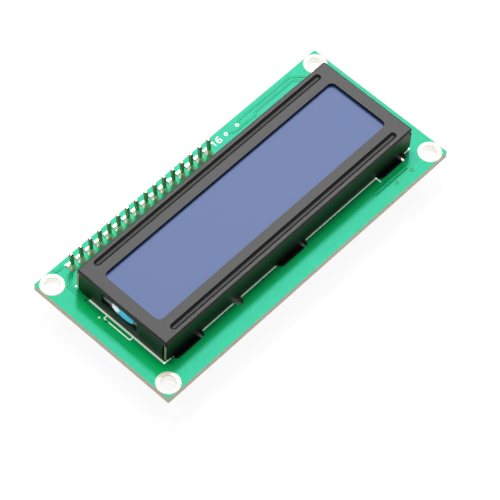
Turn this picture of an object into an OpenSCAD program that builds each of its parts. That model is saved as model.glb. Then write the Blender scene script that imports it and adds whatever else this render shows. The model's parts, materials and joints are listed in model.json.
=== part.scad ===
// Character LCD module, two lines of sixteen characters, with a stamped steel
// bezel and a pin header.
// Origin: centre of the mounting holes on the board's front face.
// +X runs along the board, +Y points to the header edge, +Z out of the display.

/* [Board] */
// Length of the board
board_l = 80; // [76:0.5:84]
// Width of the board
board_w = 36; // [35:0.5:40]
// Thickness of the board
board_t = 1.6; // [1:0.1:2]
// Radius of the board's corners
board_corner_r = 0.3; // [0.1:0.1:1]

/* [Mounting holes] */
// From a board edge to the centre of the nearest mounting hole
hole_inset = 2.5; // [2.5:0.1:3]
// Diameter of a mounting hole
hole_d = 3.1; // [2.5:0.1:3.2]
// Diameter of the tinned ring round a mounting hole
land_d = 5; // [4:0.1:5]
// From the hole's edge to the inside of its tinned ring
land_step = 0.1; // [0.05:0.05:0.2]
// Height of the tinned rings above the board
land_t = 0.06; // [0.03:0.01:0.1]

/* [Bezel] */
// Bare board beyond each short end of the bezel
end_rim = 4.95; // [4:0.05:6]
// Bare board beyond each long side of the bezel
side_rim = 6.15; // [5.8:0.05:6.6]
// Height of the bezel's face above the board
bezel_h = 6.6; // [6:0.1:8]
// Thickness of the bezel's steel sheet
sheet_t = 0.5; // [0.3:0.05:0.55]
// Outer radius of the drawn edge round the face
edge_r = 0.6; // [0.6:0.05:1.2]
// Outer radius of the bezel's upright corners
corner_r = 0.9; // [0.7:0.1:1.3]
// Bezel's centre along the board, from the board's centre
bezel_x = 0.3; // [-0.5:0.1:0.5]
// Bezel's centre across the board, from the board's centre
bezel_y = -0.2; // [-0.5:0.05:0.5]

/* [Window] */
// Steel between the window and each short end of the bezel
end_border = 2.75; // [2.5:0.05:4]
// Steel between the window and each long side of the bezel
side_border = 4.45; // [4.4:0.05:5.5]
// Radius of the window's corners
window_r = 1.2; // [0.5:0.1:2]

/* [Pressed channels] */
// Width of a pressed channel at the face
channel_w = 1.5; // [0.8:0.05:1.6]
// Depth of a pressed channel
channel_d = 0.45; // [0.2:0.05:0.55]
// From the bezel's long side to the middle of a channel
channel_inset = 1.75; // [1.6:0.05:2.2]
// From the bezel's short side to the end of a channel
channel_end = 3.1; // [2.5:0.1:6]

/* [Folded walls and tabs] */
// Height at which the slits between the walls end
slit_top = 5.3; // [4.5:0.1:5.4]
// Width of the slit between two walls
slit_w = 0.35; // [0.2:0.05:0.6]
// How far the long walls stop short of the bezel's ends
wall_short = 0.15; // [0.1:0.05:0.4]
// Size of the cut at the walls' lower corners
foot_cut = 0.8; // [0.4:0.1:1.2]
// Length of the notch in the left wall
notch_l = 9.3; // [8:0.1:12]
// Bottom of the notch above the board
notch_z = 2.6; // [2:0.1:3]
// Height of the notch
notch_h = 2.9; // [2:0.1:3]
// Notch's centre across the board, from the bezel's centre
notch_y = 0.5; // [-1:0.1:1]
// Length of a slot in the board
slot_l = 8.1; // [6:0.1:10]
// Width of a slot in the board
slot_w = 2; // [1.6:0.1:2.2]
// From the bezel's short end to the middle of the nearest slot
slot_inset = 5.95; // [5:0.05:8]
// How far a slot reaches out past the bezel's wall
slot_reach = 1.15; // [0.9:0.05:1.3]
// Gap between a tab and the end of its slot
tab_gap = 0.5; // [0.2:0.1:1]
// How far a folded tab laps under the board, past its slot
tab_lap = 0.7; // [0.3:0.1:1]
// Diameter of the round hole at the front edge
locator_d = 1.8; // [1:0.1:2]
// How far the round hole reaches out past the bezel's wall
locator_reach = 1.4; // [0.9:0.1:1.6]
// How far the round hole lies left of the middle between two slots
locator_off = 0.75; // [-3:0.05:3]

/* [LCD cell] */
// Thickness of each glass plate
glass_t = 1.1; // [0.5:0.05:1.2]
// Gap between the glass and the bezel's wall
glass_gap = 0.35; // [0.2:0.05:0.6]
// Width of the front glass's contact ledge along each long side
ledge_w = 2.6; // [2.4:0.1:3]
// Thickness of a polarizing film
film_t = 0.2; // [0.1:0.05:0.25]
// How far the films end short of the rear glass
film_inset = 0.15; // [0.1:0.05:0.3]
// Length of the epoxy blob that closes the cell's filling port
seal_l = 6.4; // [3:0.1:7]
// Radius of that blob
seal_r = 1.2; // [0.9:0.05:1.3]
// How far the blob's middle hangs below the joint of the plates
seal_drop = 0.7; // [0:0.1:0.8]
// Thickness of the conductive rubber strips
zebra_w = 1.9; // [1.5:0.1:2]

/* [Backlight] */
// Wall of the backlight frame
frame_wall = 0.8; // [0.6:0.1:1]
// Floor of the backlight frame
frame_floor = 0.5; // [0.4:0.1:0.8]
// Thickness of the reflector and the diffuser films
sheet_film_t = 0.15; // [0.1:0.05:0.2]
// Thickness of the light bar's circuit board
led_board_t = 0.6; // [0.4:0.1:0.8]
// How far the light bar's LEDs stand out from their board
led_depth = 0.8; // [0.6:0.1:0.9]
// Length of one LED along the bar
led_l = 3; // [2:0.1:3.5]
// From the end of the light bar to the nearest LED
led_edge = 1.2; // [0.5:0.1:2]
// Diameter of a backlight lead
lead_d = 0.5; // [0.4:0.05:0.6]
// From one backlight lead to the other
lead_pitch = 5.08; // [2.54:0.01:6]
// How far the leads stand up inside the frame
lead_up = 0.8; // [0.5:0.1:1.5]
// How far the leads stand out behind the board
lead_down = 1; // [0.5:0.1:1.5]
// Diameter of a lead's hole in the board
lead_hole_d = 0.9; // [0.8:0.05:1.1]
// Diameter of the solder on a lead
lead_solder_d = 1.6; // [1.2:0.1:2]
// Height of the solder on a lead
lead_solder_h = 0.7; // [0.4:0.1:0.9]

/* [Header] */
// Distance between two pins
pin_pitch = 2.54; // [2:0.01:2.54]
// Side of a square pin
pin_w = 0.64; // [0.5:0.01:0.66]
// From the board's short edge to the first pin
header_start = 8; // [8:0.1:9]
// From the board's long edge to the row of pins
header_inset = 2.5; // [2:0.1:2.6]
// Height of the pins above the board
pin_up = 4.4; // [3:0.1:6]
// Lean of the pins towards the board's edge, in degrees
pin_lean = 7; // [0:1:10]
// Length of the pins below the plastic strip
pin_down = 3; // [2:0.1:6]
// Length of a pin's pointed tip
pin_tip = 0.35; // [0.2:0.05:0.6]
// Height of the plastic strip
strip_h = 2.54; // [1.5:0.01:2.54]
// Width of the plastic strip
strip_w = 2.5; // [2:0.05:2.54]
// Diameter of a pin's hole in the board
pin_hole_d = 1; // [0.95:0.05:1.1]
// Diameter of a solder cone at the board
solder_d = 1.9; // [1.5:0.05:2]
// Height of a solder cone
solder_h = 1.2; // [0.8:0.1:1.6]

/* [Parts behind the board] */
// Diameter of the epoxy dome over the controller
controller_d = 15; // [12:0.5:17]
// Diameter of the epoxy dome over the segment driver
driver_d = 13; // [10:0.5:15]
// Height of the epoxy domes
glob_h = 1.5; // [1:0.1:2]
// Length of a small chip part
chip_l = 2; // [1.6:0.1:2.2]
// Width of a small chip part
chip_w = 1.25; // [0.8:0.05:1.4]
// Length of a backlight resistor
power_chip_l = 3.2; // [3:0.1:3.4]
// Width of a backlight resistor
power_chip_w = 1.6; // [1.2:0.1:1.8]
// Free board between a chip part and its neighbour
part_gap = 0.9; // [0.5:0.1:1.2]
// Free board between a dome, tab or lead and the nearest chip part
chip_clear = 1.5; // [1:0.1:2.5]
// Thickness of the chip parts
chip_t = 0.55; // [0.4:0.05:0.8]

/* [Hidden] */
$fn = 48;
pin_count = 16;
eps = 0.01;

// Board and holes
hole_x = board_l / 2 - hole_inset;
hole_y = board_w / 2 - hole_inset;
board_back = -board_t;

// Bezel: faces of the walls, and the space inside
bezel_l = board_l - 2 * end_rim;
bezel_w = board_w - 2 * side_rim;
window_l = bezel_l - 2 * end_border;
window_w = bezel_w - 2 * side_border;
half_l = bezel_l / 2;
half_w = bezel_w / 2;
in_l = bezel_l - 2 * sheet_t;
in_w = bezel_w - 2 * sheet_t;
tab_w = slot_l - 2 * tab_gap;
slot_pitch = half_l - slot_inset;
slot_mid_y = half_w + slot_reach - slot_w / 2;
locator_x = -slot_pitch / 2 - locator_off;
locator_y = half_w + locator_reach - locator_d / 2;
channel_l = bezel_l - 2 * channel_end;
channel_y = half_w - channel_inset;
// Radius of the round-bottomed channel that has this width and depth
channel_r = (channel_w * channel_w / 4 + channel_d * channel_d) / (2 * channel_d);

// Stack from the bezel's pressed channels down to the board
glass_l = in_l - 2 * glass_gap;
glass_w = in_w - 2 * glass_gap;
rear_w = glass_w - 2 * ledge_w;
glass_top = bezel_h - channel_d - sheet_t;
joint_z = glass_top - glass_t;
rear_film_z = joint_z - glass_t - film_t;
film_l = glass_l - 2 * film_inset;
film_w = rear_w - 2 * film_inset;
seal_y = notch_y - 0.7;
zebra_y = glass_w / 2 - ledge_w / 2;
zebra_l = film_l;

// Backlight, from the board up to the rear film
frame_l = glass_l;
frame_w = 2 * (zebra_y - zebra_w / 2 - glass_gap);
frame_h = rear_film_z;
tray_l = frame_l - 2 * frame_wall;
tray_w = frame_w - 2 * frame_wall;
guide_z = frame_floor + sheet_film_t;
guide_h = frame_h - guide_z - sheet_film_t;
guide_x = -tray_l / 2 + led_board_t + led_depth;
guide_l = tray_l / 2 - guide_x;
lead_x = -tray_l / 2 + led_board_t / 2;
lead_z = frame_floor + lead_up;
led_gap = guide_h / 10;
led_pitch = (tray_w - led_l) / 2 - led_edge;

// Header
row_x = -board_l / 2 + header_start;
row_y = board_w / 2 - header_inset;
strip_bottom = board_back - strip_h;
pin_bottom = strip_bottom - pin_down;

// Domes and chip parts behind the board
glob_x = slot_pitch / 2;
bias_pitch = chip_w + part_gap;
power_pitch = power_chip_w + part_gap;
oscillator_y = controller_d / 2 + chip_clear + chip_w / 2;
capacitor_y = bezel_y + half_w - sheet_t - chip_clear - chip_w / 2;
power_x = bezel_x + lead_x + lead_solder_d / 2 + chip_clear + power_chip_l / 2;

PINS = [for (i = [1:pin_count]) str("pin_", i < 10 ? "0" : "", i)];
BIAS = [for (i = [1:5]) str("bias_resistor_", i)];
BACKLIGHT_CHIPS = [for (i = [1:2]) str("backlight_resistor_", i)];

// ---- Shapes that several sub-parts share ----

// Flat plate with rounded corners, standing on z = 0
module plate(l, w, t, r) {
    union() {
        translate([-l / 2 + r, -w / 2, 0]) cube([l - 2 * r, w, t]);
        translate([-l / 2, -w / 2 + r, 0]) cube([l, w - 2 * r, t]);
        for (x = [-1, 1], y = [-1, 1])
            translate([x * (l / 2 - r), y * (w / 2 - r), 0]) cylinder(h = t, r = r);
    }
}

// Plain centred block, standing on z = 0
module block(l, w, h) {
    translate([-l / 2, -w / 2, 0]) cube([l, w, h]);
}

// Milled slot along X, from z = 0 up
module slot(l, w, h) {
    union() {
        block(l - w, w, h);
        for (x = [-1, 1]) translate([x * (l - w) / 2, 0, 0]) cylinder(h = h, d = w);
    }
}

// Round rod along X with ball ends
module rod(l, r) {
    union() {
        rotate([0, 90, 0]) cylinder(h = l - 2 * r, r = r, center = true);
        for (x = [-1, 1]) translate([x * (l / 2 - r), 0, 0]) sphere(r = r);
    }
}

// Section of a bar whose two upper edges are rounded
module round_top(w, h, r) {
    union() {
        translate([-w / 2, 0]) square([w, h - r]);
        translate([-w / 2 + r, 0]) square([w - 2 * r, h]);
        for (x = [-1, 1]) translate([x * (w / 2 - r), h - r]) circle(r = r);
    }
}

// Drawn block: the four upper edges and the upright corners are rounded
module drawn_block(l, w, h, top_r, upright_r) {
    intersection() {
        rotate([90, 0, 90]) linear_extrude(height = l, center = true) round_top(w, h, top_r);
        rotate([90, 0, 0]) linear_extrude(height = w, center = true) round_top(l, h, top_r);
        plate(l, w, h, upright_r);
    }
}

module at_bezel() {
    translate([bezel_x, bezel_y, 0]) children();
}

// Places on both long sides of the bezel, the outside towards +Y of the child
module on_long_sides() {
    for (s = [0, 1]) mirror([0, s, 0]) children();
}

module at_pin(i) {
    translate([row_x + i * pin_pitch, row_y, 0]) children();
}

// ---- Board ----

module pcb() {
    color([0.10, 0.62, 0.42]) difference() {
        translate([0, 0, board_back]) plate(board_l, board_w, board_t, board_corner_r);
        translate([0, 0, board_back - eps]) board_holes(board_t + 2 * eps);
    }
}

module board_holes(h) {
    for (x = [-1, 1], y = [-1, 1])
        translate([x * hole_x, y * hole_y, 0]) cylinder(h = h, d = hole_d);
    for (i = [0:pin_count - 1]) at_pin(i) cylinder(h = h, d = pin_hole_d);
    at_bezel() {
        on_long_sides() for (k = [-1:1])
            translate([k * slot_pitch, slot_mid_y, 0]) slot(slot_l, slot_w, h);
        translate([locator_x, -locator_y, 0]) cylinder(h = h, d = locator_d);
        lead_places() cylinder(h = h, d = lead_hole_d);
    }
}

// One tinned ring, set back from its hole, with the sloping inner edge that etching leaves
module land_ring() {
    inner_d = hole_d + 2 * land_step;
    difference() {
        cylinder(h = land_t, d = land_d);
        translate([0, 0, -eps]) cylinder(h = land_t + 2 * eps, d1 = inner_d, d2 = inner_d + 2 * land_t);
    }
}

// Tinned rings on both faces of the board
module mounting_lands() {
    color([0.93, 0.90, 0.80])
    for (x = [-1, 1], y = [-1, 1])
        translate([x * hole_x, y * hole_y, 0]) {
            land_ring();
            translate([0, 0, board_back]) mirror([0, 0, 1]) land_ring();
        }
}

// ---- Bezel: one sheet, drawn, pressed, pierced and folded ----

module bezel() {
    color([0.12, 0.12, 0.12]) at_bezel() difference() {
        union() {
            drawn_cap();
            on_long_sides() long_wall();
            for (s = [0, 1]) mirror([s, 0, 0]) short_wall();
            on_long_sides() channel_back();
        }
        translate([0, 0, bezel_h - sheet_t - eps])
            plate(window_l, window_w, sheet_t + 2 * eps, window_r);
        on_long_sides() translate([0, channel_y, bezel_h + channel_r - channel_d])
            rod(channel_l, channel_r);
        translate([-half_l - eps, notch_y - notch_l / 2, notch_z])
            cube([sheet_t + edge_r, notch_l, notch_h]);
    }
}

// The face with its drawn edge, above the slits
module drawn_cap() {
    difference() {
        drawn_block(bezel_l, bezel_w, bezel_h, edge_r, corner_r);
        drawn_block(in_l, in_w, bezel_h - sheet_t, edge_r - sheet_t, corner_r - sheet_t);
        translate([0, 0, -eps]) block(2 * bezel_l, 2 * bezel_w, slit_top + eps);
    }
}

// Underside of a pressed channel, which bears on the glass ledge
module channel_back() {
    intersection() {
        translate([0, channel_y, bezel_h + channel_r - channel_d])
            rod(channel_l + 2 * sheet_t, channel_r + sheet_t);
        block(in_l, in_w, bezel_h - sheet_t / 2);
    }
}

// Long wall with its tabs, folded out flat behind the board
module long_wall() {
    wall_l = bezel_l - 2 * wall_short;
    translate([0, half_w, 0]) rotate([90, 0, 0]) linear_extrude(height = sheet_t) union() {
        polygon([
            [-wall_l / 2 + foot_cut, 0], [wall_l / 2 - foot_cut, 0], [wall_l / 2, foot_cut],
            [wall_l / 2, slit_top], [-wall_l / 2, slit_top], [-wall_l / 2, foot_cut]
        ]);
        for (k = [-1:1]) translate([k * slot_pitch - tab_w / 2, board_back])
            square([tab_w, board_t + eps]);
    }
    for (k = [-1:1]) translate([k * slot_pitch, 0, board_back]) folded_tab();
}

module folded_tab() {
    reach = slot_reach + tab_lap;
    translate([-tab_w / 2, half_w, -sheet_t]) cube([tab_w, reach, sheet_t]);
    intersection() {
        translate([0, half_w, 0]) rotate([0, 90, 0])
            cylinder(h = tab_w, r = sheet_t, center = true);
        translate([-tab_w / 2, half_w - sheet_t, -sheet_t]) cube([tab_w, sheet_t, sheet_t]);
    }
}

// Short wall, between the two slits
module short_wall() {
    wall_w = in_w - 2 * slit_w;
    translate([-half_l, 0, 0]) rotate([90, 0, 90]) linear_extrude(height = sheet_t)
        polygon([
            [-wall_w / 2 + foot_cut, 0], [wall_w / 2 - foot_cut, 0], [wall_w / 2, foot_cut],
            [wall_w / 2, slit_top], [-wall_w / 2, slit_top], [-wall_w / 2, foot_cut]
        ]);
}

// ---- LCD cell ----

module front_polarizer() {
    color([0.49, 0.55, 0.74]) at_bezel() translate([0, 0, glass_top])
        block(film_l, film_w, film_t);
}

module front_glass() {
    color([0.75, 0.88, 0.90, 0.5]) at_bezel() translate([0, 0, joint_z])
        block(glass_l, glass_w, glass_t);
}

module rear_glass() {
    color([0.75, 0.88, 0.90, 0.5]) at_bezel() translate([0, 0, joint_z - glass_t])
        block(glass_l, rear_w, glass_t);
}

module rear_polarizer() {
    color([0.25, 0.30, 0.45]) at_bezel() translate([0, 0, rear_film_z])
        block(film_l, film_w, film_t);
}

// Blob of epoxy that closes the filling port, behind the notch
module end_seal() {
    color([0.30, 0.70, 0.85]) at_bezel() intersection() {
        translate([-half_l + seal_r, seal_y, joint_z - seal_drop]) rotate([0, 0, 90])
            rod(seal_l, seal_r);
        translate([-half_l, -half_w, 0]) cube([half_l - glass_l / 2, bezel_w, bezel_h]);
    }
}

// Conductive rubber strip between the board and a glass ledge
module zebra() {
    translate([0, zebra_y, 0]) block(zebra_l, zebra_w, joint_z);
}

module zebra_upper() {
    color([0.85, 0.85, 0.88]) at_bezel() zebra();
}

module zebra_lower() {
    color([0.85, 0.85, 0.88]) at_bezel() mirror([0, 1, 0]) zebra();
}

// ---- Backlight ----

module backlight_frame() {
    color([0.95, 0.95, 0.95]) at_bezel() difference() {
        block(frame_l, frame_w, frame_h);
        translate([0, 0, frame_floor]) block(tray_l, tray_w, frame_h);
        translate([0, 0, -eps]) lead_places() cylinder(h = frame_floor + 2 * eps, d = lead_d);
    }
}

module reflector_film() {
    color([0.98, 0.98, 0.98]) at_bezel()
        translate([guide_x, -tray_w / 2, frame_floor]) cube([guide_l, tray_w, sheet_film_t]);
}

module light_guide() {
    color([0.85, 0.92, 0.95, 0.5]) at_bezel()
        translate([guide_x, -tray_w / 2, guide_z]) cube([guide_l, tray_w, guide_h]);
}

module diffuser_film() {
    color([0.97, 0.97, 0.97]) at_bezel()
        translate([guide_x, -tray_w / 2, guide_z + guide_h])
            cube([guide_l, tray_w, sheet_film_t]);
}

module backlight_led_board() {
    color([0.92, 0.92, 0.88]) at_bezel() difference() {
        translate([-tray_l / 2, -tray_w / 2, frame_floor])
            cube([led_board_t, tray_w, frame_h - frame_floor - sheet_film_t]);
        translate([0, 0, frame_floor - eps]) lead_places()
            cylinder(h = lead_z - frame_floor + eps, d = lead_d);
    }
}

module backlight_leds() {
    color([0.98, 0.95, 0.75]) at_bezel() for (k = [-1:1])
        translate([-tray_l / 2 + led_board_t, k * led_pitch - led_l / 2, guide_z + led_gap])
            cube([led_depth, led_l, guide_h - 2 * led_gap]);
}

module lead_places() {
    for (s = [-1, 1]) translate([lead_x, s * lead_pitch / 2, 0]) children();
}

module backlight_leads() {
    color([0.80, 0.80, 0.78]) at_bezel() lead_places()
        translate([0, 0, board_back - lead_down])
            cylinder(h = lead_z - board_back + lead_down, d = lead_d);
}

// Solder round each lead: it fills the hole and stands behind the board
module lead_solder() {
    color([0.80, 0.80, 0.78]) at_bezel() lead_places() difference() {
        union() {
            translate([0, 0, board_back]) cylinder(h = board_t, d = lead_hole_d);
            translate([0, 0, board_back - lead_solder_h])
                cylinder(h = lead_solder_h, d1 = lead_d * 1.4, d2 = lead_solder_d);
        }
        translate([0, 0, board_back - 2 * lead_down])
            cylinder(h = board_t + 4 * lead_down, d = lead_d);
    }
}

// ---- Header ----

// One position of the plastic strip, with its breaking notches
module strip_cell() {
    cut = pin_pitch / 5;
    polygon([
        [-pin_pitch / 2, -strip_w / 2 + cut], [-pin_pitch / 2 + cut, -strip_w / 2],
        [pin_pitch / 2 - cut, -strip_w / 2], [pin_pitch / 2, -strip_w / 2 + cut],
        [pin_pitch / 2, strip_w / 2 - cut], [pin_pitch / 2 - cut, strip_w / 2],
        [-pin_pitch / 2 + cut, strip_w / 2], [-pin_pitch / 2, strip_w / 2 - cut]
    ]);
}

module header_strip() {
    color([0.08, 0.08, 0.08]) translate([0, 0, strip_bottom]) difference() {
        union() {
            for (i = [0:pin_count - 1]) at_pin(i) linear_extrude(height = strip_h) strip_cell();
        }
        for (i = [0:pin_count - 1]) at_pin(i) translate([0, 0, -eps])
            block(pin_w, pin_w, strip_h + 2 * eps);
    }
}

// Square pin with pointed ends. It leans towards +Y above the solder.
module header_pin() {
    w = pin_w / 2;
    point = pin_w / 5;
    foot = solder_h;
    shift = (pin_up - foot) * tan(pin_lean);
    tip_shift = (pin_up - pin_tip - foot) * tan(pin_lean);
    intersection() {
        rotate([90, 0, 90]) linear_extrude(height = pin_w, center = true) polygon([
            [-point, pin_bottom], [point, pin_bottom], [w, pin_bottom + pin_tip], [w, foot],
            [w + tip_shift, pin_up - pin_tip], [point + shift, pin_up],
            [-point + shift, pin_up], [-w + tip_shift, pin_up - pin_tip],
            [-w, foot], [-w, pin_bottom + pin_tip]
        ]);
        rotate([90, 0, 0]) linear_extrude(height = 4 * pin_pitch, center = true) polygon([
            [-point, pin_bottom], [point, pin_bottom], [w, pin_bottom + pin_tip],
            [w, pin_up - pin_tip], [point, pin_up], [-point, pin_up],
            [-w, pin_up - pin_tip], [-w, pin_bottom + pin_tip]
        ]);
    }
}

// Solder cone on the front, which also fills the hole round the pin
module solder_joint() {
    hole_r = pin_hole_d / 2;
    base_r = solder_d / 2;
    neck_r = pin_w * 0.78;
    difference() {
        rotate_extrude() polygon([
            [0, board_back], [hole_r, board_back], [hole_r, 0], [base_r, 0],
            [base_r, land_t], [base_r * 0.78, solder_h * 0.28], [base_r * 0.64, solder_h * 0.6],
            [neck_r, solder_h], [0, solder_h]
        ]);
        translate([0, 0, board_back - eps]) block(pin_w, pin_w, board_t + solder_h + 2 * eps);
    }
}

module solder_joints() {
    color([0.86, 0.86, 0.84]) for (i = [0:pin_count - 1]) at_pin(i) solder_joint();
}

module pin(i) {
    color([0.85, 0.84, 0.78]) at_pin(i) header_pin();
}

// ---- Parts behind the board ----

// Low dome of epoxy, cut from a ball
module glob(d, h) {
    ball_r = (d * d / 4 + h * h) / (2 * h);
    intersection() {
        translate([0, 0, board_back + ball_r - h]) sphere(r = ball_r, $fn = 180);
        translate([0, 0, board_back - h]) cylinder(h = h, d = d);
    }
}

module controller_glob() {
    color([0.05, 0.05, 0.05]) translate([-glob_x, 0, 0]) glob(controller_d, glob_h);
}

module driver_glob() {
    color([0.05, 0.05, 0.05]) translate([glob_x, 0, 0]) glob(driver_d, glob_h);
}

// Chip part on the back, its length along X
module chip(l, w) {
    translate([0, 0, board_back - chip_t]) block(l, w, chip_t);
}

module oscillator_resistor() {
    color([0.10, 0.10, 0.10]) translate([-glob_x, oscillator_y, 0]) chip(chip_l, chip_w);
}

module supply_capacitor() {
    color([0.70, 0.58, 0.42]) translate([row_x, capacitor_y, 0]) chip(chip_l, chip_w);
}

module bias_resistor(i) {
    color([0.10, 0.10, 0.10]) translate([0, (i - 2) * bias_pitch, 0]) chip(chip_l, chip_w);
}

module backlight_resistor(i) {
    color([0.10, 0.10, 0.10]) translate([power_x, bezel_y - i * power_pitch, 0])
        chip(power_chip_l, power_chip_w);
}

pcb();
mounting_lands();
bezel();
front_polarizer();
front_glass();
end_seal();
rear_glass();
rear_polarizer();
zebra_upper();
zebra_lower();
backlight_frame();
reflector_film();
light_guide();
diffuser_film();
backlight_led_board();
backlight_leds();
backlight_leads();
lead_solder();
header_strip();
solder_joints();
for (i = [0:pin_count - 1])
    pin(i);
controller_glob();
driver_glob();
oscillator_resistor();
supply_capacitor();
for (i = [0:4])
    bias_resistor(i);
for (i = [0:1])
    backlight_resistor(i);
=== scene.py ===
import json
import math

import bmesh
import bpy
from mathutils import Matrix, Vector, noise


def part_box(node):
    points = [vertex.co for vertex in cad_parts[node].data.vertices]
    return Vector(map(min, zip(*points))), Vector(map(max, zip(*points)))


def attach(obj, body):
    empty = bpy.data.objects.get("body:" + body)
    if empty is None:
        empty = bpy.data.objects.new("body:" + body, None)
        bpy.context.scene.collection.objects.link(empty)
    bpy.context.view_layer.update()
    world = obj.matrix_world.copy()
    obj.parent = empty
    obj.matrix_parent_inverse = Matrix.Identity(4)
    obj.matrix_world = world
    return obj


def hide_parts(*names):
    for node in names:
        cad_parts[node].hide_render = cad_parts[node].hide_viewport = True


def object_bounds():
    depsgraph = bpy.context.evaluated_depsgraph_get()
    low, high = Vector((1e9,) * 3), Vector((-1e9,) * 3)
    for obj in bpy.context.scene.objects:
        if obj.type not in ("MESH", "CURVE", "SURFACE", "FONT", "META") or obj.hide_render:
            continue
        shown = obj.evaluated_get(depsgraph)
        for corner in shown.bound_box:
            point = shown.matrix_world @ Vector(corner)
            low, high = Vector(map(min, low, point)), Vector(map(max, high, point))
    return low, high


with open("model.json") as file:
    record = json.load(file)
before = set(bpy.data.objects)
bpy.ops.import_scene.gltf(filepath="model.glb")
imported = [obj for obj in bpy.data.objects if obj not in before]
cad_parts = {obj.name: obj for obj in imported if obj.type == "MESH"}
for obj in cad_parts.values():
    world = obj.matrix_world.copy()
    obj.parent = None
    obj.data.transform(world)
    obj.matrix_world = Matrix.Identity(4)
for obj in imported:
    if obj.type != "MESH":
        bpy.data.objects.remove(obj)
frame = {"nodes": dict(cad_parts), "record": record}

mm = 0.001
cadBounds = [list(corner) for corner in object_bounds()]
cadNodes = frame["nodes"]
mounts = {m["name"]: m for m in frame["record"]["mounts"]}

# ---- camera and light

cameraView = {
    "azimuth": -50.82,  # degrees, 0 looks along +Y
    "elevation": 56.68,
    "roll": 4.72,
    "distance": 0.5305,
    "lens": 196.76,
    "target": (-0.0049, -0.0060, 0.0),
}


def makeCamera():
    a, e, r = (math.radians(cameraView[k]) for k in ("azimuth", "elevation", "roll"))
    back = Vector((math.sin(a) * math.cos(e), -math.cos(a) * math.cos(e), math.sin(e)))
    level = Vector((math.cos(a), math.sin(a), 0))
    up = back.cross(level)
    right = level * math.cos(r) + up * math.sin(r)
    top = up * math.cos(r) - level * math.sin(r)
    cam = bpy.data.objects.new("camera", bpy.data.cameras.new("camera"))
    cam.data.lens = cameraView["lens"]
    cam.data.sensor_width = 36
    turn = Matrix((right, top, back)).transposed().to_4x4()
    place = Vector(cameraView["target"]) + back * cameraView["distance"]
    cam.matrix_world = Matrix.Translation(place) @ turn
    bpy.context.scene.collection.objects.link(cam)
    bpy.context.scene.camera = cam


makeCamera()

studio = {
    "suns": {  # direction to each lamp, its strength and its width in degrees
        "key": ((0.53, 0.455, 1.0), 1.08, 7.5),
        "softbox": ((0.143, 0.293, 0.946), 1.8, 30.0),
    },
    "ambient": 0.22,
    "glow": 1.7,  # the brighter part of the room, round the key
    "glowPower": 9.0,
    "floorWhite": 0.93,  # share of the floor that shines plain white
    "floorHalf": 3.0,
    "underShade": ((0.0305, 0.033), (0.011, 0.015)),  # where the shade under the board starts and ends
}


def node(tree, kind, inputs=None, **settings):
    made = tree.nodes.new(kind)
    for key, value in settings.items():
        setattr(made, key, value)
    for key, value in (inputs or {}).items():
        if isinstance(value, bpy.types.NodeSocket):
            tree.links.new(value, made.inputs[key])
        else:
            made.inputs[key].default_value = value
    return made


def backgroundRays(tree):
    path = node(tree, "ShaderNodeLightPath")
    first = node(tree, "ShaderNodeMath",
                 {0: path.outputs["Is Camera Ray"], 1: path.outputs["Is Glossy Ray"]},
                 operation="MAXIMUM")
    return node(tree, "ShaderNodeMath", {0: first.outputs[0], 1: path.outputs["Is Transmission Ray"]},
                operation="MAXIMUM").outputs[0]


def makeLight():
    for name, (towards, strength, width) in studio["suns"].items():
        sun = bpy.data.objects.new(name, bpy.data.lights.new(name, "SUN"))
        sun.data.energy = strength
        sun.data.angle = math.radians(width)
        sun.rotation_euler = Vector(towards).to_track_quat("Z", "Y").to_euler()
        sun.visible_glossy = name == "key"
        bpy.context.scene.collection.objects.link(sun)
    world = bpy.data.worlds.new("studio")
    world.use_nodes = True
    tree = world.node_tree
    tree.nodes.clear()
    direction = node(tree, "ShaderNodeTexCoord").outputs["Generated"]
    towards = Vector(studio["suns"]["key"][0]).normalized()
    facing = node(tree, "ShaderNodeVectorMath", {0: direction, 1: towards},
                  operation="DOT_PRODUCT").outputs["Value"]
    front = node(tree, "ShaderNodeMath", {0: facing, 1: 0.0}, operation="MAXIMUM").outputs[0]
    lobe = node(tree, "ShaderNodeMath", {0: front, 1: studio["glowPower"]},
                operation="POWER").outputs[0]
    glow = node(tree, "ShaderNodeMath", {0: lobe, 1: studio["glow"]}, operation="MULTIPLY").outputs[0]
    total = node(tree, "ShaderNodeMath", {0: glow, 1: studio["ambient"]}, operation="ADD").outputs[0]
    room = node(tree, "ShaderNodeBackground", {"Color": (1, 1, 1, 1), "Strength": total})
    node(tree, "ShaderNodeOutputWorld", {"Surface": room.outputs[0]})
    bpy.context.scene.world = world
    bpy.context.scene.view_settings.view_transform = "Standard"


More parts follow.
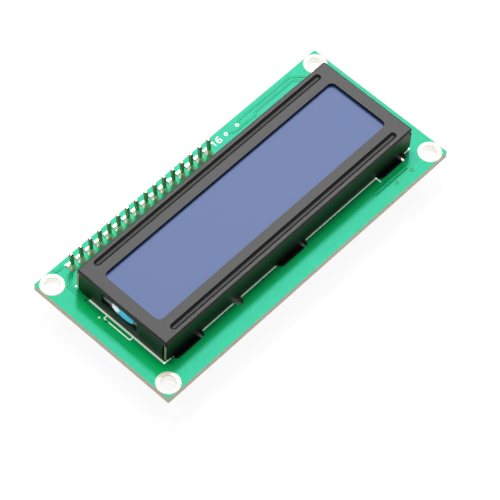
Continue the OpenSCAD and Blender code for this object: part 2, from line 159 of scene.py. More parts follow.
def makeFloor():
    material = bpy.data.materials.new("paleFloor")
    material.use_nodes = True
    tree = material.node_tree
    tree.nodes.clear()
    plain = node(tree, "ShaderNodeBsdfDiffuse", {"Color": (0.86, 0.86, 0.86, 1)})
    pale = node(tree, "ShaderNodeBsdfDiffuse", {"Color": (1, 1, 1, 1)})
    shine = node(tree, "ShaderNodeEmission", {"Color": (1, 1, 1, 1), "Strength": 1.0})
    place = node(tree, "ShaderNodeSeparateXYZ", {0: node(tree, "ShaderNodeTexCoord").outputs["Object"]})
    reach = []
    for axis, (start, end) in enumerate(studio["underShade"]):
        along = node(tree, "ShaderNodeMath", {0: place.outputs[axis]}, operation="ABSOLUTE").outputs[0]
        reach.append(node(tree, "ShaderNodeMapRange",
                          {"Value": along, "From Min": start, "From Max": end},
                          interpolation_type="SMOOTHSTEP").outputs[0])
    outside = node(tree, "ShaderNodeMath", {0: reach[0], 1: reach[1]}, operation="MAXIMUM").outputs[0]
    share = node(tree, "ShaderNodeMath", {0: outside, 1: studio["floorWhite"]},
                 operation="MULTIPLY").outputs[0]
    seen = node(tree, "ShaderNodeMixShader", {0: share, 1: pale.outputs[0], 2: shine.outputs[0]})
    mix = node(tree, "ShaderNodeMixShader",
               {0: backgroundRays(tree), 1: plain.outputs[0], 2: seen.outputs[0]})
    node(tree, "ShaderNodeOutputMaterial", {"Surface": mix.outputs[0]})
    mesh = bpy.data.meshes.new("floor")
    half, z = studio["floorHalf"], cadBounds[0][2]
    mesh.from_pydata([(-half, -half, z), (half, -half, z), (half, half, z), (-half, half, z)], [],
                     [(0, 1, 2, 3)])
    mesh.materials.append(material)
    floor = bpy.data.objects.new("floor", mesh)
    bpy.context.scene.collection.objects.link(floor)


makeLight()
makeFloor()
print("camera, light and floor made")

# ---- materials: colours are linear


def surface(name, color, roughness, metallic=0.0, mottle=0.12, mottleSize=6.0, grainSize=0.25,
            grainDepth=0.01, roughSpread=0.06, stretch=(1, 1, 1), **sockets):
    material = bpy.data.materials.new(name)
    material.use_nodes = True
    tree = material.node_tree
    shader = tree.nodes["Principled BSDF"]
    place = node(tree, "ShaderNodeTexCoord").outputs["Object"]
    turned = node(tree, "ShaderNodeMapping", {"Vector": place, "Scale": stretch}).outputs[0]
    cloud = node(tree, "ShaderNodeTexNoise",
                 {"Vector": turned, "Scale": 1 / (mottleSize * mm), "Detail": 3.0}).outputs["Fac"]
    fine = node(tree, "ShaderNodeTexNoise",
                {"Vector": turned, "Scale": 1 / (grainSize * mm), "Detail": 2.0}).outputs["Fac"]
    dark = [c * (1 - mottle) for c in color]
    light = [min(1.0, c * (1 + mottle)) for c in color]
    tone = node(tree, "ShaderNodeMix", {0: cloud, 6: (*dark, 1), 7: (*light, 1)}, data_type="RGBA")
    tree.links.new(tone.outputs[2], shader.inputs["Base Color"])
    rough = node(tree, "ShaderNodeMapRange",
                 {"Value": fine, "From Min": 0.3, "From Max": 0.7,
                  "To Min": max(0.02, roughness - roughSpread), "To Max": roughness + roughSpread})
    tree.links.new(rough.outputs[0], shader.inputs["Roughness"])
    shader.inputs["Metallic"].default_value = metallic
    dents = node(tree, "ShaderNodeBump", {"Height": fine, "Strength": 1.0, "Distance": grainDepth * mm})
    tree.links.new(dents.outputs[0], shader.inputs["Normal"])
    for key, value in sockets.items():
        shader.inputs[key.replace("_", " ")].default_value = value
    material["tone"] = tone.name
    return material


weave = {"scale": 700.0, "distortion": 1.5, "share": 0.09, "shade": 0.5, "edgeFrom": 0.55}


def weaveBands(tree, place, direction):
    values = {"Vector": place, "Scale": weave["scale"], "Distortion": weave["distortion"],
              "Detail": 1.0}
    return node(tree, "ShaderNodeTexWave", values, bands_direction=direction).outputs["Fac"]


def maskMaterial(name, color, edgeColor=None):
    material = surface(name, color, 0.36, mottle=0.06, mottleSize=9.0, grainSize=0.9, grainDepth=0.006,
                       roughSpread=0.02, Specular_Tint=(0.2, 0.32, 1.0, 1))
    tree = material.node_tree
    shader = tree.nodes["Principled BSDF"]
    tone = tree.nodes[material["tone"]].outputs[2]
    place = node(tree, "ShaderNodeTexCoord").outputs["Object"]
    warp, weft = (weaveBands(tree, place, direction) for direction in ("X", "Y"))
    cloth = node(tree, "ShaderNodeMath", {0: warp, 1: weft}, operation="ADD").outputs[0]
    share = node(tree, "ShaderNodeMapRange",
                 {"Value": cloth, "From Max": 2.0, "To Max": weave["share"]}).outputs[0]
    shade = [c * weave["shade"] for c in color]
    woven = node(tree, "ShaderNodeMix", {0: share, 6: tone, 7: (*shade, 1)},
                 data_type="RGBA").outputs[2]
    if edgeColor:
        across = node(tree, "ShaderNodeAttribute", attribute_name="across").outputs["Fac"]
        near = node(tree, "ShaderNodeMapRange",
                    {"Value": across, "From Min": weave["edgeFrom"], "From Max": 1.0}).outputs[0]
        woven = node(tree, "ShaderNodeMix", {0: near, 6: woven, 7: (*edgeColor, 1)},
                     data_type="RGBA").outputs[2]
    tree.links.new(woven, shader.inputs["Base Color"])
    return material


maskGreen = (0.0, 0.50, 0.115)
solderMask = maskMaterial("solderMask", maskGreen)
maskedCopper = maskMaterial("maskedCopper", (0.005, 0.50, 0.13), (0.0, 0.22, 0.06))
laminate = surface("laminateEdge", (0.62, 0.55, 0.42), 0.6, mottle=0.25, mottleSize=1.2, grainSize=0.12,
                   grainDepth=0.02, stretch=(1, 1, 6))
# a darker copy of the laminate for the walls of slots and holes: painted shade inside the openings
laminateShaded = surface("laminateSlotShade", (0.16, 0.13, 0.07), 0.7, mottle=0.3, mottleSize=0.8,
                       stretch=(1, 1, 5))
platedWall = surface("platedWall", (0.95, 0.92, 0.86), 0.22, 1.0, mottle=0.05, mottleSize=0.7,
                     stretch=(1, 1, 3))
tin = surface("levelledTin", (0.88, 0.83, 0.70), 0.42, 0.25, mottle=0.07, mottleSize=1.6, grainSize=0.7,
              grainDepth=0.015)
solder = surface("brightSolder", (0.92, 0.90, 0.82), 0.30, 0.7, mottle=0.1, mottleSize=0.6,
                 grainSize=0.3, grainDepth=0.02)
pinMetal = surface("tinnedBrass", (0.30, 0.27, 0.19), 0.36, 1.0, mottle=0.12, mottleSize=0.9,
                   grainSize=0.15, grainDepth=0.006, stretch=(1, 1, 0.25))
# white legend ink that also glows a little: painted light that lifts it in the bezel's shade
legendInkGlow = surface("whiteLegendGlow", (0.86, 0.93, 0.84), 0.55, mottle=0.06, mottleSize=1.0,
                    grainSize=0.12, grainDepth=0.004,
                    Emission_Color=(0.80, 1.0, 0.78, 1), Emission_Strength=0.35)
bezelPaint = surface("blackPaint", (0.005, 0.0048, 0.0043), 0.45, mottle=0.15, mottleSize=4.0,
                     grainSize=0.22, grainDepth=0.004, roughSpread=0.03)
bareSteel = surface("bareCutEdge", (0.62, 0.40, 0.32), 0.5, 0.6, mottle=0.3, mottleSize=0.5,
                    stretch=(1, 1, 0.3))
frontFilm = surface("frontFilm", (0.040, 0.088, 0.258), 0.45, mottle=0.05, mottleSize=18.0,
                    grainSize=0.18, grainDepth=0.0015, roughSpread=0.015)
rearFilm = surface("rearFilm", (0.05, 0.07, 0.16), 0.4)
cellGlass = surface("cellGlass", (0.80, 0.90, 0.90), 0.08, mottle=0.02, Transmission_Weight=0.9,
                    IOR=1.52)
# the seal's blue epoxy and its white patch glow a little: painted light standing in for light led in by
# the glass
blueEpoxyGlow = surface("sealEpoxyGlow", (0.07, 0.45, 0.68), 0.18, mottle=0.45, mottleSize=1.3, grainSize=0.5,
                    grainDepth=0.04,
                    Emission_Color=(0.05, 0.36, 0.55, 1), Emission_Strength=0.5)
# white patch high on the seal: a painted highlight, and it glows a little too
sealHighlight = surface("sealPaintedHighlight", (0.88, 0.92, 0.96), 0.3, mottle=0.05, grainSize=0.5, grainDepth=0.04,
                     Emission_Color=(0.75, 0.85, 1.0, 1), Emission_Strength=0.4)
rubber = surface("elastomer", (0.55, 0.52, 0.55), 0.7, mottle=0.1, mottleSize=2.0)
whitePlastic = surface("whitePlastic", (0.82, 0.82, 0.82), 0.45, mottle=0.03)
acrylic = surface("acrylic", (0.85, 0.92, 0.95), 0.12, mottle=0.02, Transmission_Weight=0.8, IOR=1.49)
ledWindow = surface("ledBody", (0.90, 0.82, 0.52), 0.35, mottle=0.08, mottleSize=1.5)
headerPlastic = surface("headerPlastic", (0.022, 0.022, 0.024), 0.5, mottle=0.15, mottleSize=2.0,
                        grainSize=0.12, grainDepth=0.006)
blackEpoxy = surface("blackEpoxy", (0.012, 0.012, 0.012), 0.34, mottle=0.25, mottleSize=3.0,
                     grainSize=0.9, grainDepth=0.02)
chipBody = surface("chipGlaze", (0.018, 0.018, 0.022), 0.32, mottle=0.2, mottleSize=0.6)
chipTan = surface("chipTan", (0.34, 0.22, 0.12), 0.42, mottle=0.15, mottleSize=0.5)
print("materials made")

# ---- helpers for pieces


def addPiece(name, mesh, replaced=()):
    piece = bpy.data.objects.new(name, mesh)
    bpy.context.scene.collection.objects.link(piece)
    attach(piece, "root")
    if replaced:
        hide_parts(*replaced)
    return piece


def outward(mesh):
    bm = bmesh.new()
    bm.from_mesh(mesh)
    bmesh.ops.remove_doubles(bm, verts=bm.verts, dist=1e-7)
    bmesh.ops.recalc_face_normals(bm, faces=bm.faces)
    bm.to_mesh(mesh)
    bm.free()


def softShade(mesh, angle=35):
    mesh.shade_smooth()
    mesh.set_sharp_from_angle(angle=math.radians(angle))


def looseHost(name, verts, edges=()):
    mesh = bpy.data.meshes.new(name)
    mesh.from_pydata([Vector(v) * mm for v in verts], list(edges), [])
    host = bpy.data.objects.new(name, mesh)
    bpy.context.scene.collection.objects.link(host)
    return host


def newTree(name, inputs):
    tree = bpy.data.node_groups.new(name, "GeometryNodeTree")
    tree.interface.new_socket("Geometry", in_out="INPUT", socket_type="NodeSocketGeometry")
    for label, kind in inputs.items():
        tree.interface.new_socket(label, in_out="INPUT", socket_type="NodeSocket" + kind)
    tree.interface.new_socket("Geometry", in_out="OUTPUT", socket_type="NodeSocketGeometry")
    return tree, node(tree, "NodeGroupInput").outputs


def closeTree(tree, geometry):
    node(tree, "NodeGroupOutput", {"Geometry": geometry})


def bakeTree(host, tree, values, name):
    modifier = host.modifiers.new("build", "NODES")
    modifier.node_group = tree
    names = {s.name: s.identifier for s in tree.interface.items_tree if s.in_out == "INPUT"}
    for label, value in values.items():
        modifier[names[label]] = value
    graph = bpy.context.evaluated_depsgraph_get()
    mesh = bpy.data.meshes.new_from_object(host.evaluated_get(graph))
    mesh.name = name
    while mesh.materials and mesh.materials[0] is None:
        mesh.materials.pop(index=0)  # the empty slot that the bare points had
    host.modifiers.remove(modifier)
    bpy.data.objects.remove(host)
    return mesh


# ---- board: outline and holes filled, then given their thickness

boardShape = {
    "cornerRadius": 0.3,
    "pinHoleRadius": 0.5,
    "slotLength": 8.1,
    "slotWidth": 2.0,
    "slotPitch": 29.1,
    "slotRows": (-12.2, 11.8),
    "locator": (-15.0, -12.55, 0.9),
    "leads": ((-32.8, 2.34, 0.45), (-32.8, -2.74, 0.45)),
    "pinStart": -32.0,
    "pinPitch": 2.54,
    "pinCount": 16,
    "pinRow": 15.5,
    "rimBand": 0.4,
    "landCorner": (35.8, 13.8),  # walls beyond this corner are the mounting holes' own
}


def boardTree():
    tree, given = newTree("boardPlate",
                          {"Length": "Float", "Width": "Float", "Thickness": "Float",
                           "Corner Radius": "Float", "Slot Length": "Float", "Slot Width": "Float"})
    outline = node(tree, "GeometryNodeCurvePrimitiveQuadrilateral",
                   {"Width": given["Length"], "Height": given["Width"]})
    rounded = node(tree, "GeometryNodeFilletCurve",
                   {"Curve": outline.outputs[0], "Count": 4, "Radius": given["Corner Radius"]},
                   mode="POLY")
    radius = node(tree, "GeometryNodeInputNamedAttribute", {"Name": "radius"},
                  data_type="FLOAT").outputs[0]
    isRound = node(tree, "FunctionNodeCompare", {0: radius, 1: 0.0}, data_type="FLOAT",
                   operation="GREATER_THAN").outputs[0]
    isSlot = node(tree, "FunctionNodeBooleanMath", {0: isRound}, operation="NOT").outputs[0]
    circle = node(tree, "GeometryNodeCurvePrimitiveCircle", {"Resolution": 40, "Radius": 1.0})
    rounds = node(tree, "GeometryNodeInstanceOnPoints",
                  {"Points": given["Geometry"], "Selection": isRound, "Instance": circle.outputs[0],
                   "Scale": radius})
    bar = node(tree, "GeometryNodeCurvePrimitiveQuadrilateral",
               {"Width": given["Slot Length"], "Height": given["Slot Width"]})
    end = node(tree, "ShaderNodeMath", {0: given["Slot Width"], 1: 0.4999},
               operation="MULTIPLY").outputs[0]
    capsule = node(tree, "GeometryNodeFilletCurve",
                   {"Curve": bar.outputs[0], "Count": 10, "Radius": end}, mode="POLY")
    slots = node(tree, "GeometryNodeInstanceOnPoints",
                 {"Points": given["Geometry"], "Selection": isSlot, "Instance": capsule.outputs[0]})
    joined = node(tree, "GeometryNodeJoinGeometry")
    for part in (slots, rounds, rounded):
        tree.links.new(part.outputs[0], joined.inputs[0])
    realized = node(tree, "GeometryNodeRealizeInstances", {"Geometry": joined.outputs[0]})
    face = node(tree, "GeometryNodeFillCurve", {"Curve": realized.outputs[0]}, mode="TRIANGLES")
    down = node(tree, "ShaderNodeMath", {0: given["Thickness"], 1: -1.0},
                operation="MULTIPLY").outputs[0]
    away = node(tree, "ShaderNodeCombineXYZ", {"Z": down}).outputs[0]
    sunk = node(tree, "GeometryNodeExtrudeMesh",
                {"Mesh": face.outputs[0], "Offset": away, "Offset Scale": 1.0, "Individual": False},
                mode="FACES")
    both = node(tree, "GeometryNodeJoinGeometry")
    tree.links.new(face.outputs[0], both.inputs[0])
    tree.links.new(sunk.outputs[0], both.inputs[0])
    welded = node(tree, "GeometryNodeMergeByDistance", {"Geometry": both.outputs[0], "Distance": 1e-7})
    closeTree(tree,
              node(tree, "GeometryNodeSetMaterial",
                   {"Geometry": welded.outputs[0], "Material": solderMask}).outputs[0])
    return tree


def holePoints():
    pattern = mounts["mounting_holes"]["dims"]
    points = []
    for x in (-1, 1):
        for y in (-1, 1):
            points.append((x * pattern["spacing_x_mm"] / 2, y * pattern["spacing_y_mm"] / 2,
                           pattern["hole_r_mm"]))
    for i in range(boardShape["pinCount"]):
        points.append((boardShape["pinStart"] + i * boardShape["pinPitch"], boardShape["pinRow"],
                       boardShape["pinHoleRadius"]))
    points.append(boardShape["locator"])
    points.extend(boardShape["leads"])
    bezelMiddle = sum(c[0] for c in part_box("bezel")) / 2 / mm
    for y in boardShape["slotRows"]:
        for k in (-1, 0, 1):
            points.append((bezelMiddle + k * boardShape["slotPitch"], y, 0.0))
    return points


def makeBoard():
    low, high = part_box("pcb")
    points = holePoints()
    host = looseHost("holePoints", [(x, y, 0) for x, y, r in points])
    radius = host.data.attributes.new("radius", "FLOAT", "POINT")
    for i, (x, y, r) in enumerate(points):
        radius.data[i].value = r * mm
    values = {"Length": high.x - low.x, "Width": high.y - low.y, "Thickness": high.z - low.z,
              "Corner Radius": boardShape["cornerRadius"] * mm,
              "Slot Length": boardShape["slotLength"] * mm, "Slot Width": boardShape["slotWidth"] * mm}
    mesh = bakeTree(host, boardTree(), values, "board")
    outward(mesh)
    for extra in (laminate, laminateShaded, platedWall):
        mesh.materials.append(extra)
    rim = boardShape["rimBand"] * mm
    cornerX, cornerY = boardShape["landCorner"]
    # side faces: the rim band takes the laminate, the mounting-hole walls the plating, and the other
    # slot and hole walls the shaded laminate, which is painted shade
    for face in mesh.polygons:
        if abs(face.normal.z) > 0.5:
            continue
        x, y = abs(face.center.x), abs(face.center.y)
        if x > high.x - rim or y > high.y - rim:
            face.material_index = 1
        elif x > cornerX * mm and y > cornerY * mm:
            face.material_index = 3
        else:
            face.material_index = 2
    addPiece("board", mesh, ["pcb"])


makeBoard()
print("board made")

# ---- copper under the mask, and the white legend: ribbons along paths

ribbonShape = {"crown": 0.84, "cuts": 3, "bendSteps": 5}  # crown: top width over foot width


def ribbonTree():
    tree, given = newTree("ribbonOnPath",
                          {"Width": "Float", "Height": "Float", "Bend": "Float",
                           "Material": "Material"})
    path = node(tree, "GeometryNodeMeshToCurve", {"Mesh": given["Geometry"]})
    bent = node(tree, "GeometryNodeFilletCurve",
                {"Curve": path.outputs[0], "Count": ribbonShape["bendSteps"], "Radius": given["Bend"],
                 "Limit Radius": True}, mode="POLY")
    upright = node(tree, "GeometryNodeSetCurveNormal", {"Curve": bent.outputs[0]}, mode="Z_UP")
    crown = node(tree, "ShaderNodeMath", {0: given["Width"], 1: ribbonShape["crown"]},
                 operation="MULTIPLY").outputs[0]
    profile = node(tree, "GeometryNodeCurvePrimitiveQuadrilateral",
                   {"Height": given["Height"], "Bottom Width": given["Width"], "Top Width": crown,
                    "Offset": 0.0}, mode="TRAPEZOID")
    fine = node(tree, "GeometryNodeSubdivideCurve",
                {"Curve": profile.outputs[0], "Cuts": ribbonShape["cuts"]})
    spot = node(tree, "ShaderNodeSeparateXYZ",
                {0: node(tree, "GeometryNodeInputPosition").outputs[0]}).outputs[0]
    half = node(tree, "ShaderNodeMath", {0: given["Width"], 1: 0.5}, operation="MULTIPLY").outputs[0]
    side = node(tree, "ShaderNodeMath", {0: spot, 1: half}, operation="DIVIDE").outputs[0]
    across = node(tree, "ShaderNodeMath", {0: side}, operation="ABSOLUTE").outputs[0]
    marked = node(tree, "GeometryNodeStoreNamedAttribute",
                  {"Geometry": fine.outputs[0], "Name": "across", "Value": across}, data_type="FLOAT",
                  domain="POINT")
    solid = node(tree, "GeometryNodeCurveToMesh",
                 {"Curve": upright.outputs[0], "Profile Curve": marked.outputs[0], "Fill Caps": True})
    whole = node(tree, "GeometryNodeRealizeInstances", {"Geometry": solid.outputs[0]})
    closeTree(tree,
              node(tree, "GeometryNodeSetMaterial",
                   {"Geometry": whole.outputs[0], "Material": given["Material"]}).outputs[0])
    return tree


ribbons = ribbonTree()


def ribbon(name, paths, width, height, material, bend=0.6, z=0.0):
    verts, edges = [], []
    for path in paths:
        first = len(verts)
        verts.extend((x, y, z) for x, y in path)
        edges.extend((first + i, first + i + 1) for i in range(len(path) - 1))
    host = looseHost(name + "Path", verts, edges)
    mesh = bakeTree(host, ribbons,
                    {"Width": width * mm, "Height": 2 * height * mm, "Bend": bend * mm,
                     "Material": material}, name)
    outward(mesh)
    return addPiece(name, mesh)


frontCopper = {
    "height": 0.03,
    "feed": {"width": 1.0, "paths": [[(22.0, -14.5), (31.3, -14.5)]]},
    "signal": {"width": 0.45, "paths": [
        [(15.1, 16.3), (16.4, 16.9), (31.5, 16.9), (33.6, 14.8), (33.6, 12.0)],
        [(11.9, 16.3), (13.2, 15.6), (14.2, 15.4), (19.5, 15.4), (20.0, 15.9), (31.2, 15.9),
         (32.6, 14.5), (32.6, 12.2)],
        [(-35.7, 9.0), (-35.7, 13.0), (-33.6, 15.1)],
        [(-35.0, 10.6), (-35.0, 13.0), (-33.2, 14.6)],
        [(-36.4, 3.9), (-35.6, 5.0), (-35.6, 7.8)],
        [(-36.3, 2.2), (-37.4, 1.2), (-37.4, -6.5)],
    ]},
    "rim": {"width": 0.55, "paths": [[(-35.6, 17.5), (-34.4, 16.9), (-33.2, 17.0)]]},
}

for label in ("feed", "signal", "rim"):
    group = frontCopper[label]
    ribbon("front_copper_" + label, group["paths"], group["width"], frontCopper["height"], maskedCopper)

legend = {
    "height": 0.022,
    "side": {"width": 0.40, "paths": [
        [(-34.95, -12.0), (-34.95, 8.0)],
        [(35.15, -12.0), (35.15, 11.9)],
    ]},
    "long": {"width": 0.32, "paths": [
        [(-35.1, -12.02), (-33.3, -12.02)],
        [(-24.6, -12.08), (-16.1, -12.08)],
        [(-13.9, -12.08), (-4.1, -12.08)],
        [(4.5, -12.08), (25.2, -12.08)],
        [(33.6, -12.08), (35.3, -12.08)],
        [(-35.0, 12.0), (35.2, 12.0)],
    ]},
    "mark": {"width": 0.25, "paths": [
        [(-35.1, 3.1), (-35.9, 3.1), (-35.9, -3.8), (-35.1, -3.8)],
        [(25.1, -12.0), (25.1, -13.4)],
    ]},
    "number": {"width": 0.28, "paths": [
        [(-32.75, 16.75), (-32.3, 17.15), (-32.3, 15.75)],
        [(8.0, 16.75), (8.45, 17.15), (8.45, 15.7)],
        [(10.3, 17.05), (9.6, 16.9), (9.25, 16.3), (9.35, 15.8), (9.9, 15.65), (10.3, 15.95),
         (10.1, 16.4), (9.4, 16.35)],
    ]},
}
for label in ("side", "long", "mark", "number"):
    group = legend[label]
    ribbon("legend_" + label, group["paths"], group["width"], legend["height"], legendInkGlow,
           bend=0.15, z=0.0)
print("copper and legend made")

# ---- vias: small rings with a dark middle, one on each point

viaShape = {"sides": 20, "rimSides": 8, "flatness": 0.45, "plugLift": 0.006, "spread": (0.9, 1.1),
            "seed": 7}


def viaTree():
    tree, given = newTree("viaRings",
                          {"Radius": "Float", "Rim": "Float", "Ring Material": "Material",
                           "Hole Material": "Material"})
    circle = node(tree, "GeometryNodeCurvePrimitiveCircle",
                  {"Resolution": viaShape["sides"], "Radius": given["Radius"]})
    profile = node(tree, "GeometryNodeCurvePrimitiveCircle",
                   {"Resolution": viaShape["rimSides"], "Radius": given["Rim"]})
    ring = node(tree, "GeometryNodeCurveToMesh",
                {"Curve": circle.outputs[0], "Profile Curve": profile.outputs[0]})
    low = node(tree, "GeometryNodeTransform",
               {"Geometry": ring.outputs[0], "Scale": (1, 1, viaShape["flatness"])})
    ringPainted = node(tree, "GeometryNodeSetMaterial",
                       {"Geometry": low.outputs[0], "Material": given["Ring Material"]})
    disc = node(tree, "GeometryNodeMeshCircle",
                {"Vertices": viaShape["sides"], "Radius": given["Radius"]}, fill_type="NGON")
    raised = node(tree, "GeometryNodeTransform",
                  {"Geometry": disc.outputs[0], "Translation": (0, 0, viaShape["plugLift"] * mm)})
    discPainted = node(tree, "GeometryNodeSetMaterial",
                       {"Geometry": raised.outputs[0], "Material": given["Hole Material"]})
    both = node(tree, "GeometryNodeJoinGeometry")
    tree.links.new(ringPainted.outputs[0], both.inputs[0])
    tree.links.new(discPainted.outputs[0], both.inputs[0])
    least, most = viaShape["spread"]
    jitter = node(tree, "FunctionNodeRandomValue", {2: least, 3: most, "Seed": viaShape["seed"]},
                  data_type="FLOAT")
    placed = node(tree, "GeometryNodeInstanceOnPoints",
                  {"Points": given["Geometry"], "Instance": both.outputs[0],
                   "Scale": jitter.outputs[1]})
    closeTree(tree,
              node(tree, "GeometryNodeRealizeInstances", {"Geometry": placed.outputs[0]}).outputs[0])
    return tree


rings = viaTree()
viaDark = surface("viaDark", (0.0, 0.16, 0.045), 0.4, mottle=0.2, mottleSize=0.5)
# near-black disc in the open vias: painted shade standing in for the inside of the hole
viaHoleShade = surface("viaHoleShade", (0.01, 0.012, 0.01), 0.6, mottle=0.2, mottleSize=0.5)
vias = {
    "covered": {"radius": 0.42, "rim": 0.13, "points": [
        (-35.5, 8.5), (-36.3, 2.2), (22.0, -14.5), (27.3, -15.8), (31.7, -15.8),
    ]},
    "row": {"radius": 0.24, "rim": 0.10, "points": [(x, -12.5) for x in (
        -18.7, -17.4, -10.2, -9.0, -8.1, -7.3, -6.4, -5.6, -4.8,
        5.2, 6.1, 7.0, 8.0, 9.2, 11.2, 12.2, 13.4,
    )]},
    "open": {"radius": 0.30, "rim": 0.13, "points": [(11.9, 16.3), (15.1, 16.3)]},
    "dot": {"radius": 0.12, "rim": 0.10, "points": [(-36.4, 3.9)]},
}
for label, ringMaterial, middle in (("covered", maskedCopper, viaDark), ("row", maskedCopper, viaDark),
                                    ("open", legendInkGlow, viaHoleShade), ("dot", legendInkGlow, legendInkGlow)):
    group = vias[label]
    host = looseHost(label + "Vias", [(x, y, 0.0) for x, y in group["points"]])
    mesh = bakeTree(host, rings,
                    {"Radius": group["radius"] * mm, "Rim": group["rim"] * mm,
                     "Ring Material": ringMaterial, "Hole Material": middle}, "vias")
    softShade(mesh)
    addPiece("vias_" + label, mesh)
print("vias made")

# ---- turned shapes: rings, cones and domes


def turned(profile, steps=48, wobble=0.0, seed=0.0):
    # profile runs from the outside in, or along a closed section; radius 0 closes a pole
    verts, faces, rows = [], [], []
    for r, z in profile:
        if r == 0:
            verts.append((0, 0, z * mm))
            rows.append([len(verts) - 1] * steps)
            continue
        row = []
        for s in range(steps):
            a = 2 * math.pi * s / steps
            push = 1 + wobble * noise.noise(Vector((math.cos(a), math.sin(a), seed)))
            verts.append((r * push * mm * math.cos(a), r * push * mm * math.sin(a), z * mm))
            row.append(len(verts) - 1)
        rows.append(row)
    for a, b in zip(rows, rows[1:]):
        for s in range(steps):
            t = (s + 1) % steps
            quad = [a[s], a[t], b[t], b[s]]
            face = [v for i, v in enumerate(quad) if v not in quad[:i]]
            if len(face) > 2:
                faces.append(face)
    return verts, faces


def turnedMesh(name, profile, material, steps=48, wobble=0.0, seed=0.0, closed=False):
    if closed:
        profile = list(profile) + [profile[0]]
    verts, faces = turned(profile, steps, wobble, seed)
    mesh = bpy.data.meshes.new(name)
    mesh.from_pydata(verts, [], faces)
    mesh.materials.append(material)
    outward(mesh)
    softShade(mesh, 50)
    return mesh


def placeTree(name):
    # copies of one shape on points, each turned and sized a little differently
    tree, given = newTree(name,
                          {"Shape": "Object", "Least Size": "Float", "Most Size": "Float",
                           "Turn": "Float", "Seed": "Int"})
    shape = node(tree, "GeometryNodeObjectInfo", {"Object": given["Shape"]}, transform_space="ORIGINAL")
    size = node(tree, "FunctionNodeRandomValue",
                {2: given["Least Size"], 3: given["Most Size"], "Seed": given["Seed"]},
                data_type="FLOAT")
    spin = node(tree, "FunctionNodeRandomValue", {2: 0.0, 3: given["Turn"], "Seed": given["Seed"]},
                data_type="FLOAT")
    turn = node(tree, "ShaderNodeCombineXYZ", {"Z": spin.outputs[1]})
    placed = node(tree, "GeometryNodeInstanceOnPoints",
                  {"Points": given["Geometry"], "Instance": shape.outputs["Geometry"],
                   "Rotation": turn.outputs[0], "Scale": size.outputs[1]})
    closeTree(tree,
              node(tree, "GeometryNodeRealizeInstances", {"Geometry": placed.outputs[0]}).outputs[0])
    return tree


copies = placeTree("copiesOnPoints")


def scatter(name, shapeMesh, points, sizes=(1.0, 1.0), turn=0.0, seed=1):
    shape = bpy.data.objects.new(name + "Shape", shapeMesh)
    bpy.context.scene.collection.objects.link(shape)
    host = looseHost(name + "Points", points)
    mesh = bakeTree(host, copies,
                    {"Shape": shape, "Least Size": sizes[0], "Most Size": sizes[1], "Turn": turn,
                     "Seed": seed}, name)
    bpy.data.objects.remove(shape)
    return mesh


lands = {"inner": 1.56, "outer": 2.5, "crown": 0.085}


def makeLands():
    a, b, h = lands["inner"], lands["outer"], lands["crown"]
    section = [(a, 0.0), (a, h * 0.45), (a + 0.06, h * 0.75), (a + 0.2, h), (b - 0.35, h * 0.95),
               (b - 0.12, h * 0.6), (b, 0.0)]
    pattern = mounts["mounting_holes"]["dims"]
    x, y = pattern["spacing_x_mm"] / 2, pattern["spacing_y_mm"] / 2
    thickness = (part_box("pcb")[1].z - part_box("pcb")[0].z) / mm
    ring = turnedMesh("landRing", section, tin, 64, closed=True)
    under = turnedMesh("landRingBack", [(r, -z - thickness) for r, z in section], tin, 64, closed=True)
    corners = [(sx * x, sy * y, 0.0) for sx in (-1, 1) for sy in (-1, 1)]
    front = scatter("mounting_lands_front", ring, corners, turn=6.2, seed=3)
    back = scatter("mounting_lands_back", under, corners, turn=6.2, seed=4)
    softShade(front, 50)
    softShade(back, 50)
    addPiece("mounting_lands_front", front, ["mounting_lands"])
    addPiece("mounting_lands_back", back)


makeLands()

# ---- header: pins, solder and plastic strip

pins = {"side": 0.64, "chamfer": 0.04, "tip": 0.16, "point": 0.24, "bendAt": 1.2, "lean": 7.0,
        "leanSpread": 1.6, "sway": 0.03, "seed": 11}


def pinMesh(low, high):
    half, cut, tip, point = pins["side"] / 2, pins["chamfer"], pins["tip"], pins["point"]
    levels = [(low, point), (low + tip, half), (pins["bendAt"], half),
              ((pins["bendAt"] + high) / 2, half), (high - tip, half), (high - 0.04, point + 0.03),
              (high, point)]
    verts, faces = [], []
    for z, h in levels:
        c = cut * h / half
        ring = [(h, h - c), (h - c, h), (c - h, h), (-h, h - c), (-h, c - h), (c - h, -h), (h - c, -h),
                (h, c - h)]
        verts.extend((x * mm, y * mm, z * mm) for x, y in ring)
    for k in range(len(levels) - 1):
        for i in range(8):
            j = (i + 1) % 8
            faces.append((8 * k + i, 8 * k + j, 8 * k + 8 + j, 8 * k + 8 + i))
    faces.append(tuple(range(7, -1, -1)))
    faces.append(tuple(range(8 * len(levels) - 8, 8 * len(levels))))
    mesh = bpy.data.meshes.new("pinShape")
    mesh.from_pydata(verts, [], faces)
    mesh.materials.append(pinMetal)
    outward(mesh)
    return mesh


